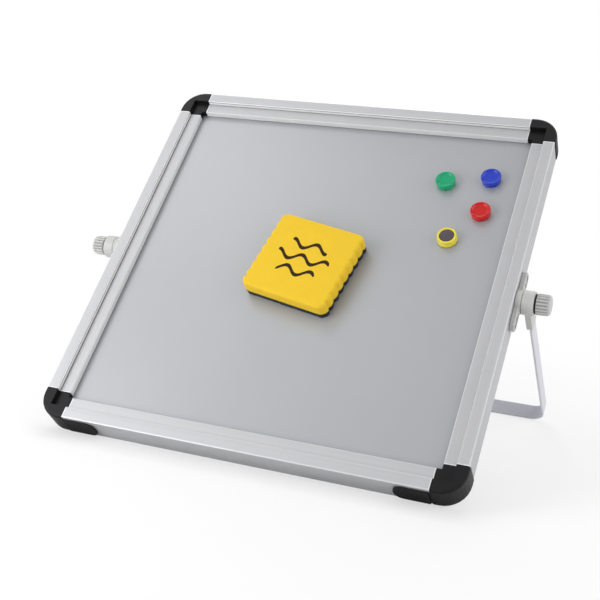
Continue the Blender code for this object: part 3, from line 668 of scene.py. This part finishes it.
def ferrite_finish(colours):
    """Sintered ferrite: dark with fine grains and grinding lines."""
    finish = Finish("ferrite", metallic=0.15, specular_ior_level=0.4)
    place = finish.here()
    grit = finish.cells(place, 5200.0)
    fine = finish.grain(place, 2600.0, 3.0, 0.7)
    ground = finish.grain(finish.stretch(place, (300, 7000, 300)), 1.0, 2.0, 0.6)
    base = finish.tint(fine, shade(colours.ferrite, 0.55), shade(colours.ferrite, 1.7))
    base = finish.tint(grit.rise(0.6, 0.95) * 0.5, base, shade(colours.ferrite, 2.6))
    normal = finish.relief(ground * 0.5 + grit * 0.5, depth=0.00004, strength=0.5)
    finish.feed(base_color=base, roughness=0.45 + 0.2 * fine, normal=normal)
    return finish


def button_finish(word, colour):
    """Glossy moulded plastic with flow rings from its gate and small handling scuffs."""
    finish = Finish(f"{word}_button", specular_ior_level=0.35)
    place = finish.here()
    x, y, z = finish.split(place)
    reach = (x * x + y * y) ** 0.5
    flow = finish.grain(finish.join(reach * 1600.0, z * 300.0, 0.0), 1.0, 2.0, 0.5)
    scuff = finish.grain(finish.stretch(place, (2600, 500, 900)), 1.0, 4.0, 0.7)
    cloud = finish.grain(place, 240.0, 2.0, 0.5)
    base = finish.toned(colour, 0.90 + 0.10 * cloud + 0.06 * flow)
    base = finish.tint(scuff.rise(0.62, 0.8) * 0.2, base, shade(colour, 1.5))
    rough = 0.12 + 0.14 * scuff + 0.06 * (cloud - 0.5)
    normal = finish.relief(flow * 0.5 + scuff * 0.5, depth=0.00003, strength=0.25)
    finish.feed(base_color=base, roughness=rough, normal=normal)
    return finish


# Finer pieces

# Knob from its foot to its end: shares of its length, its radius and its ribs' depth
KNOB_SHARES = (
    (0.000, 0.930, 0.00), (0.006, 0.950, 0.20), (0.025, 0.982, 0.70), (0.050, 1.000, 1.00),
    (0.250, 1.000, 1.00), (0.450, 1.000, 1.00), (0.600, 0.996, 1.00), (0.680, 0.992, 1.00),
    (0.740, 0.985, 0.94), (0.790, 0.974, 0.82), (0.840, 0.955, 0.62), (0.885, 0.925, 0.40),
    (0.925, 0.885, 0.20), (0.955, 0.845, 0.07), (0.980, 0.795, 0.00), (0.995, 0.735, 0.00),
    (1.000, 0.670, 0.00), (1.000, 0.460, 0.00), (0.990, 0.430, 0.00), (0.984, 0.300, 0.00),
    (0.984, 0.080, 0.00),
)
RIB_STEPS = 14
RIB_SHARPNESS = 1.35


def knob_solid(sizes, length):
    """Clamp knob: broad ribs that fade before a smooth rounded end with a moulded dimple."""
    count = sizes.knob_ribs * RIB_STEPS
    rings = []
    for along, wide, deep in KNOB_SHARES:
        ring = []
        for index in range(count):
            rib = (0.5 + 0.5 * math.cos(2 * math.pi * index / RIB_STEPS)) ** RIB_SHARPNESS
            reach = sizes.knob_radius * wide - sizes.rib_depth * deep * (1 - rib)
            angle = 2 * math.pi * index / count
            ring.append((reach * math.cos(angle), reach * math.sin(angle), length * along))
        rings.append(ring)
    return skin(rings)


def circle(radius, height, steps):
    """Points of a ring about Z."""
    turns = [2 * math.pi * step / steps for step in range(steps)]
    return [(radius * math.cos(turn), radius * math.sin(turn), height) for turn in turns]


# Screw: its stem in metres, its head in shares of the head's radius and height
STEM_RADIUS = 0.0010
TIP_RADIUS = 0.0005
TIP_LENGTH = 0.0009
HEAD_HEIGHT = 0.0008
HEAD_SEAT_SHARE = 0.98
HEAD_WALL_SHARE = 0.3
DOME_SHARE = 0.55
DOME_POWER = 3.2
ARM_LENGTH_SHARE = 0.60
ARM_WIDTH_SHARE = 0.14
ARM_SLOPE = 1.6
RECESS_SHARE = 0.62
HEAD_STEPS = 64
HEAD_ROWS = 20


def screw_solid(sizes, length):
    """Pan head with a cross recess on its stem, along Z from the stem's tip."""
    head = sizes.screw_head
    seat = length - HEAD_HEIGHT
    outline = (
        (TIP_RADIUS, 0.0),
        (STEM_RADIUS, TIP_LENGTH),
        (STEM_RADIUS, seat),
        (head * HEAD_SEAT_SHARE, seat),
        (head, seat + HEAD_HEIGHT * HEAD_WALL_SHARE),
    )
    rings = [circle(radius, height, HEAD_STEPS) for radius, height in outline]
    for row in range(HEAD_ROWS, 0, -1):
        share = row / HEAD_ROWS
        dome = length - HEAD_HEIGHT * DOME_SHARE * share**DOME_POWER
        ring = []
        for x, y, _ in circle(head * share, 0, HEAD_STEPS):
            arm = max(0.0, 1 - max(abs(x), abs(y)) / (head * ARM_LENGTH_SHARE))
            cut = 1.0 if min(abs(x), abs(y)) < head * ARM_WIDTH_SHARE else 0.0
            ring.append((x, y, dome - cut * min(1.0, arm * ARM_SLOPE) * HEAD_HEIGHT * RECESS_SHARE))
        rings.append(ring)
    return skin(rings)


# Eraser, in metres where it isn't a share or a count
CORNER_RADIUS = 0.0048
CORNER_STEPS = 8
SCALLOPS = 7
SCALLOP_DEPTH = 0.0010
SCALLOP_LEAD = 0.0012
SCALLOP_ROUNDNESS = 0.8
SCALLOP_STEPS = 12
STRAIGHT_STEPS = 24
FOAM_EDGE = 0.0019
FOAM_INSET = 0.0001
FOAM_BULGE = 0.00012
FOAM_SINK = 0.0001
HEADROOM = 0.00005
SIDE_LEVEL_SHARES = (0.0, 0.08, 0.2, 0.4, 0.6, 0.8)
FOAM_RING_SHARES = (0.93, 0.82, 0.65, 0.45, 0.25, 0.08)
FELT_INSET = 0.0003
FELT_LEVELS = 12
FELT_RING_SHARES = (0.9, 0.6, 0.2)
COARSE_FLUFF = (1400, 0.00022)
FINE_FLUFF = (5000, 0.00012)


def eraser_outline(sizes, inset):
    """Eraser from above: straight top and bottom edges, scallops on each side."""
    half_x, half_y = sizes.eraser_width / 2 - inset, sizes.eraser_height / 2 - inset
    radius = CORNER_RADIUS - inset
    middle = Vector((half_x - radius, half_y - radius))
    reach = middle.y - SCALLOP_LEAD
    count = SCALLOPS * SCALLOP_STEPS
    side = []
    for index in range(count + 1):
        wave = abs(math.sin(math.pi * index / SCALLOP_STEPS)) ** SCALLOP_ROUNDNESS
        side.append((half_x - SCALLOP_DEPTH * (1 - wave), -reach + 2 * reach * index / count))
    lower, upper = [], []
    for step in range(CORNER_STEPS + 1):
        angle = math.pi / 2 * step / CORNER_STEPS
        lower.append((middle.x + radius * math.sin(angle), -middle.y - radius * math.cos(angle)))
        upper.append((middle.x + radius * math.cos(angle), middle.y + radius * math.sin(angle)))
    straight = []
    for step in range(1, STRAIGHT_STEPS):
        straight.append((middle.x * (1 - 2 * step / STRAIGHT_STEPS), half_y))
    right = lower + side + upper + straight
    return right + [(-x, -y) for x, y in right]


def foam_solid(sizes, low, high):
    """Foam grip: soft top edge, slightly pressed top and cut sides that bulge a little."""
    rings = []
    for share in SIDE_LEVEL_SHARES:
        level = low + (high - FOAM_EDGE - low) * share
        bulge = FOAM_BULGE * math.sin(math.pi * share)
        rings.append([(x, y, level) for x, y in eraser_outline(sizes, FOAM_INSET - bulge)])
    for step in range(CORNER_STEPS + 1):
        angle = math.pi / 2 * step / CORNER_STEPS
        inset = FOAM_INSET + FOAM_EDGE * (1 - math.cos(angle))
        level = high - FOAM_EDGE * (1 - math.sin(angle)) - HEADROOM
        rings.append([(x, y, level) for x, y in eraser_outline(sizes, inset)])
    rim = rings[-1]
    for share in FOAM_RING_SHARES:
        level = high - HEADROOM - FOAM_SINK * (1 - share) ** 0.5
        rings.append([(x * share, y * share, level) for x, y, _ in rim])
    return skin(rings)


def felt_solid(sizes, low, high):
    """Felt pad: soft sides that fluff out unevenly."""
    rings = []
    for step in range(FELT_LEVELS + 1):
        level = low + (high - low) * (step / FELT_LEVELS)
        ring = []
        for x, y in eraser_outline(sizes, FELT_INSET):
            point = Vector((x, y, level))
            fluff = sum(noise.noise(point * rate) * size for rate, size in (COARSE_FLUFF, FINE_FLUFF))
            away = Vector((x, y, 0)).normalized() * fluff
            ring.append((x + away.x, y + away.y, level))
        rings.append(ring)
    rim = rings[-1]
    for share in FELT_RING_SHARES:
        rings.append([(x * share, y * share, high) for x, y, _ in rim])
    return skin(rings)


# Button magnets, in metres where it isn't a share or a count
DISC_LOW, DISC_HIGH = board_box("green_magnet_disc")
DISC_RADIUS = (DISC_HIGH.x - DISC_LOW.x) / 2
DISC_THICKNESS = DISC_HIGH.z - DISC_LOW.z
DISC_GAP = 0.0003
DISC_EDGE = 0.0002
DISC_STEPS = 80
RIM_WIDTH = 0.0010
DISH_SLOPE = 0.0009
DISH_DEPTH = 0.0010
FOOT_SHARE = 0.95
WAIST_SHARE = 0.94
WAIST_HEIGHT_SHARE = 0.35
FLARE_HEIGHT_SHARE = 0.78
POCKET_FILLET = 0.00015
FOOT_FILLET = 0.0002
WAIST_FILLET = 0.0006
FLARE_FILLET = 0.0004
RIM_FILLET = 0.0005
LIP_FILLET = 0.0003
DISH_FILLET = 0.0004
BUTTON_STEPS = 96
BUTTON_FILLET_STEPS = 6
DISC_FILLET_STEPS = 3


def button_solid(sizes):
    """Button cap: flared side, raised rim, dished top and the pocket of its disc."""
    radius, height = sizes.button_radius, sizes.button_height
    pocket, pocket_depth = DISC_RADIUS + DISC_GAP, DISC_THICKNESS + DISC_GAP
    rim, floor = radius - RIM_WIDTH, height - DISH_DEPTH
    profile = (
        (0, pocket_depth, 0),
        (pocket, pocket_depth, 0),
        (pocket, 0, POCKET_FILLET),
        (radius * FOOT_SHARE, 0, FOOT_FILLET),
        (radius * WAIST_SHARE, height * WAIST_HEIGHT_SHARE, WAIST_FILLET),
        (radius, height * FLARE_HEIGHT_SHARE, FLARE_FILLET),
        (radius, height, RIM_FILLET),
        (rim, height, LIP_FILLET),
        (rim - DISH_SLOPE, floor, DISH_FILLET),
        (0, floor, 0),
    )
    return lathe(rounded(profile, BUTTON_FILLET_STEPS), BUTTON_STEPS)


def disc_solid():
    """Ferrite disc with slightly broken edges."""
    profile = (
        (0, 0, 0),
        (DISC_RADIUS, 0, DISC_EDGE),
        (DISC_RADIUS, DISC_THICKNESS, DISC_EDGE),
        (0, DISC_THICKNESS, 0),
    )
    return lathe(rounded(profile, DISC_FILLET_STEPS), DISC_STEPS)


class EASEL_OT_rails(bpy.types.Operator):
    """Finish the four rails as anodised extrusions"""

    bl_idname = "easel.rails"
    bl_label = "Rails"

    def execute(self, context):
        colours, sizes = context.scene.easel_colours, context.scene.easel_sizes
        dress(("top_rail", "bottom_rail"), aluminium_finish(colours, sizes, "across"))
        dress(("left_rail", "right_rail"), aluminium_finish(colours, sizes, "upright"))
        return {"FINISHED"}


class EASEL_OT_panel_sheets(bpy.types.Operator):
    """Finish the writing sheets and their core"""

    bl_idname = "easel.panel_sheets"
    bl_label = "Writing panel"

    def execute(self, context):
        colours = context.scene.easel_colours
        dress(("front_sheet", "back_sheet"), sheet_finish(colours))
        dress(("board_core",), core_finish(colours))
        return {"FINISHED"}


class EASEL_OT_corners(bpy.types.Operator):
    """Finish the corner caps and foot pads"""

    bl_idname = "easel.corners"
    bl_label = "Corner caps and pads"

    def execute(self, context):
        colours, sizes = context.scene.easel_colours, context.scene.easel_sizes
        caps = [f"{level}_{side}_cap" for level in ("top", "bottom") for side in SIDES]
        look = {"roughness": 0.42, "gloss": 0.16, "seam": True}
        dress(caps, moulded_finish("cap_plastic", colours.cap, sizes, BOARD_SPACE, **look))
        dress([f"{side}_foot_pad" for side in SIDES], rubber_finish(colours))
        return {"FINISHED"}


# Turn of each screw's cross, in radians
SCREW_TURNS = {"upper": 0.6, "lower": 1.1}


class EASEL_OT_brackets(bpy.types.Operator):
    """Finish the side brackets and bolts, and cut the cross recess of their screws"""

    bl_idname = "easel.brackets"
    bl_label = "Brackets and screws"

    def execute(self, context):
        colours, sizes = context.scene.easel_colours, context.scene.easel_sizes
        plastic = moulded_finish("bracket_plastic", colours.fitting, sizes, BOARD_SPACE, roughness=0.46)
        zinc = zinc_finish(colours)
        for word, side in SIDES.items():
            dress((f"{word}_bracket",), plastic)
            dress((f"{word}_pivot_bolt",), zinc)
            for level, turn in SCREW_TURNS.items():
                node = f"{word}_{level}_screw"
                low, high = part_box(node)
                tip = centre(node)
                tip.x = low.x if side > 0 else high.x
                place = side_space(side)
                place.translation = tip
                turned = place @ Matrix.Rotation(turn, 4, "Z")
                solid = screw_solid(sizes, high.x - low.x)
                name = f"{word}_{level}_cross_screw"
                make_piece(name, solid, turned, zinc, "board", node, smooth=25)
        return {"FINISHED"}


class EASEL_OT_knobs(bpy.types.Operator):
    """Make the ribbed clamp knobs and finish their washers"""

    bl_idname = "easel.knobs"
    bl_label = "Clamp knobs"

    def execute(self, context):
        colours, sizes = context.scene.easel_colours, context.scene.easel_sizes
        rubber = rubber_finish(colours)
        low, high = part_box("right_knob")
        length = high.x - low.x
        look = {"roughness": 0.44, "ribbed": length}
        plastic = moulded_finish("knob_plastic", colours.fitting, sizes, Matrix.Identity(4), **look)
        for word, side in SIDES.items():
            knob = f"{word}_knob"
            low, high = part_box(knob)
            place = side_space(side)
            place.translation.x = low.x if side > 0 else high.x
            solid = knob_solid(sizes, length)
            make_piece(f"{word}_ribbed_knob", solid, place, plastic, knob, knob, smooth=50)
            dress((f"{word}_washer",), rubber)
        return {"FINISHED"}


class EASEL_OT_stand(bpy.types.Operator):
    """Finish the bent strip and its sockets"""

    bl_idname = "easel.stand"
    bl_label = "Stand"

    def execute(self, context):
        colours, sizes = context.scene.easel_colours, context.scene.easel_sizes
        dress(("stand_strip",), strip_finish(colours))
        plastic = moulded_finish("socket_plastic", colours.fitting, sizes, BOARD_SPACE, roughness=0.46)
        dress([f"{side}_leg_socket" for side in SIDES], plastic)
        return {"FINISHED"}


# Turn of the eraser on the board, and the gap between its felt and its foam in metres
ERASER_TURN = math.radians(-10.7)
FOAM_GAP = 0.0001


class EASEL_OT_eraser(bpy.types.Operator):
    """Make the foam grip and felt pad of the eraser and finish its magnet"""

    bl_idname = "easel.eraser"
    bl_label = "Eraser"

    def execute(self, context):
        colours, sizes = context.scene.easel_colours, context.scene.easel_sizes
        low, high = board_box("eraser_magnet")
        middle = (low + high) / 2
        turn = Matrix.Rotation(ERASER_TURN, 4, "Z")
        place = BOARD_SPACE @ Matrix.Translation((middle.x, middle.y, SHEET_FACE)) @ turn
        felt_low, felt_high = [corner.z - SHEET_FACE for corner in board_box("eraser_felt")]
        foam_high = board_box("eraser_grip")[1].z - SHEET_FACE
        solid, foam = foam_solid(sizes, felt_high + FOAM_GAP, foam_high), foam_finish(colours, sizes)
        grip = make_piece("foam_grip", solid, place, foam, "eraser", "eraser_grip", smooth=60)
        solid, felt = felt_solid(sizes, felt_low, felt_high), felt_finish(colours)
        pad = make_piece("felt_pad", solid, place, felt, "eraser", "eraser_felt", smooth=80)
        dress(("eraser_magnet",), ferrite_finish(colours))
        return {"FINISHED"}


class EASEL_OT_buttons(bpy.types.Operator):
    """Make the four button magnets with their ferrite discs"""

    bl_idname = "easel.buttons"
    bl_label = "Button magnets"

    def execute(self, context):
        colours, sizes = context.scene.easel_colours, context.scene.easel_sizes
        ferrite = ferrite_finish(colours)
        for colour in BUTTONS:
            body, slot = f"{colour}_magnet", f"{colour}_plastic"
            low, high = board_box(f"{body}_cap")
            middle = (low + high) / 2
            turned = colour == TURNED_BUTTON
            foot = high.z if turned else low.z
            place = BOARD_SPACE @ Matrix.Translation((middle.x, middle.y, foot))
            if turned:
                place = place @ Matrix.Rotation(math.pi, 4, "X")
            plastic = button_finish(colour, getattr(colours, colour))
            cap, disc = button_solid(sizes), disc_solid()
            make_piece(f"{colour}_button", cap, place, plastic, body, f"{body}_cap", smooth=30)
            make_piece(f"{colour}_disc", disc, place, ferrite, body, f"{body}_disc", smooth=30)
        return {"FINISHED"}


# Where the lamps point, the floor, its share of plain white and where its shadow fades
AIM = Vector((0, 0, 0.09))
FLOOR_REACH = 4.0
FLOOR_DROP = 0.0002
FLOOR_GLOW = 0.55
SHADOW_END = (0.16, 0.42)

# Strength of the surroundings where the camera and reflections don't see them
SOFT_LIGHT = 0.46

# The camera in board space: its place, its right and its down
CAMERA_PLACE = (0.24224, -0.34793, 0.53876)
CAMERA_RIGHT = Vector((0.92484, 0.30509, -0.22715))
CAMERA_DOWN = Vector((0.13362, -0.81973, -0.55694))
CAMERA_LENS = 68.35
CAMERA_SENSOR = 36.0
CAMERA_NEAR = 0.01


class EASEL_OT_stage(bpy.types.Operator):
    """Set the pale floor, the soft lamps, the plain surroundings and the camera"""

    bl_idname = "easel.stage"
    bl_label = "Stage"

    def execute(self, context):
        scene = context.scene
        scene.view_settings.view_transform = "Standard"
        self.add_floor()
        self.add_surroundings(scene)
        self.add_lamp("key_lamp", (-0.70, -0.02, 1.25), size=0.50, power=1.8)
        self.add_lamp("low_lamp", (-0.36, -0.40, 0.18), size=0.40, power=1.5)
        self.add_lamp("left_lamp", (-0.52, -0.42, 0.55), size=0.35, power=0.6)
        self.add_lamp("right_lamp", (1.15, -0.10, 0.55), size=1.15, power=6.6)
        self.add_lamp("back_lamp", (-0.15, 0.95, 1.00), size=1.00, power=9.0)
        self.add_camera(scene)
        return {"FINISHED"}

    def add_floor(self):
        """A pale floor that fades to plain white away from the easel and keeps its shadow."""
        solid = bmesh.new()
        bmesh.ops.create_grid(solid, x_segments=8, y_segments=8, size=FLOOR_REACH)
        mesh = bpy.data.meshes.new("floor")
        solid.to_mesh(mesh)
        solid.free()
        floor = bpy.data.objects.new("floor", mesh)
        bpy.context.scene.collection.objects.link(floor)
        floor.location.z = -FLOOR_DROP
        finish = Finish("pale_floor", base_color=(0.9, 0.9, 0.9, 1), roughness=0.9, specular_ior_level=0.0)
        x, y, _ = finish.split(finish.here())
        away = ((x * x + y * y) ** 0.5).rise(*SHADOW_END)
        seen = finish.add("ShaderNodeLightPath")
        white = seen * (FLOOR_GLOW + (1 - FLOOR_GLOW) * away)
        matt = Wire(finish, finish.shader.outputs[0])
        glow = finish.add("ShaderNodeEmission")
        mixed = finish.add("ShaderNodeMixShader", None, {0: white, 1: matt, 2: glow})
        finish.lead(mixed, "Material Output", "Surface")
        mesh.materials.append(finish.material)

    def add_surroundings(self, scene):
        """White to the camera and in reflections, plain soft light otherwise."""
        world = bpy.data.worlds.new("surroundings")
        world.use_nodes = True
        scene.world = world
        sky = Graph(world.node_tree)
        path = sky.add("ShaderNodeLightPath").socket.node
        shown = Wire(sky, path.outputs["Is Camera Ray"]).most(Wire(sky, path.outputs["Is Glossy Ray"]))
        shown = shown.most(Wire(sky, path.outputs["Is Transmission Ray"]))
        world.node_tree.nodes["Background"].inputs["Color"].default_value = (1, 1, 1, 1)
        sky.lead(SOFT_LIGHT + (1 - SOFT_LIGHT) * shown, "Background", "Strength")

    def add_lamp(self, name, place, size, power):
        """A square soft lamp that points at the easel's middle."""
        light = bpy.data.lights.new(name, "AREA")
        light.shape = "SQUARE"
        light.size = size
        light.energy = power
        lamp = bpy.data.objects.new(name, light)
        bpy.context.scene.collection.objects.link(lamp)
        lamp.location = place
        lamp.visible_camera = False
        lamp.rotation_euler = (AIM - Vector(place)).to_track_quat("-Z", "Y").to_euler()

    def add_camera(self, scene):
        """Camera at the photograph's viewpoint, described in board space."""
        ahead = CAMERA_RIGHT.cross(CAMERA_DOWN)
        turn = Matrix((CAMERA_RIGHT, -CAMERA_DOWN, -ahead)).transposed().to_4x4()
        camera = bpy.data.cameras.new("photo_camera")
        camera.lens = CAMERA_LENS
        camera.sensor_width = CAMERA_SENSOR
        camera.clip_start = CAMERA_NEAR
        item = bpy.data.objects.new("photo_camera", camera)
        scene.collection.objects.link(item)
        item.matrix_world = BOARD_SPACE @ Matrix.Translation(CAMERA_PLACE) @ turn
        scene.camera = item


OPERATORS = (
    EASEL_OT_rails,
    EASEL_OT_panel_sheets,
    EASEL_OT_corners,
    EASEL_OT_brackets,
    EASEL_OT_knobs,
    EASEL_OT_stand,
    EASEL_OT_eraser,
    EASEL_OT_buttons,
    EASEL_OT_stage,
)


class EASEL_PT_sidebar(bpy.types.Panel):
    """The easel's colours, sizes and steps"""

    bl_idname = "EASEL_PT_sidebar"
    bl_label = "Whiteboard Easel"
    bl_space_type = "VIEW_3D"
    bl_region_type = "UI"
    bl_category = "Easel"

    def draw(self, context):
        layout = self.layout
        for group in (context.scene.easel_colours, context.scene.easel_sizes):
            box = layout.box()
            for key in group.bl_rna.properties.keys():
                if key not in ("rna_type", "name"):
                    box.prop(group, key)
        for operator in OPERATORS:
            layout.operator(operator.bl_idname)


CLASSES = (EaselColours, EaselSizes, *OPERATORS, EASEL_PT_sidebar)


def register():
    for item in CLASSES:
        bpy.utils.register_class(item)
    bpy.types.Scene.easel_colours = PointerProperty(type=EaselColours)
    bpy.types.Scene.easel_sizes = PointerProperty(type=EaselSizes)


def unregister():
    del bpy.types.Scene.easel_sizes
    del bpy.types.Scene.easel_colours
    for item in reversed(CLASSES):
        bpy.utils.unregister_class(item)


def main():
    """Register the add-on and make every piece in order."""
    register()
    bpy.ops.easel.rails()
    bpy.ops.easel.panel_sheets()
    bpy.ops.easel.corners()
    bpy.ops.easel.brackets()
    bpy.ops.easel.knobs()
    bpy.ops.easel.stand()
    bpy.ops.easel.eraser()
    bpy.ops.easel.buttons()
    bpy.ops.easel.stage()


if __name__ == "__main__":
    main()
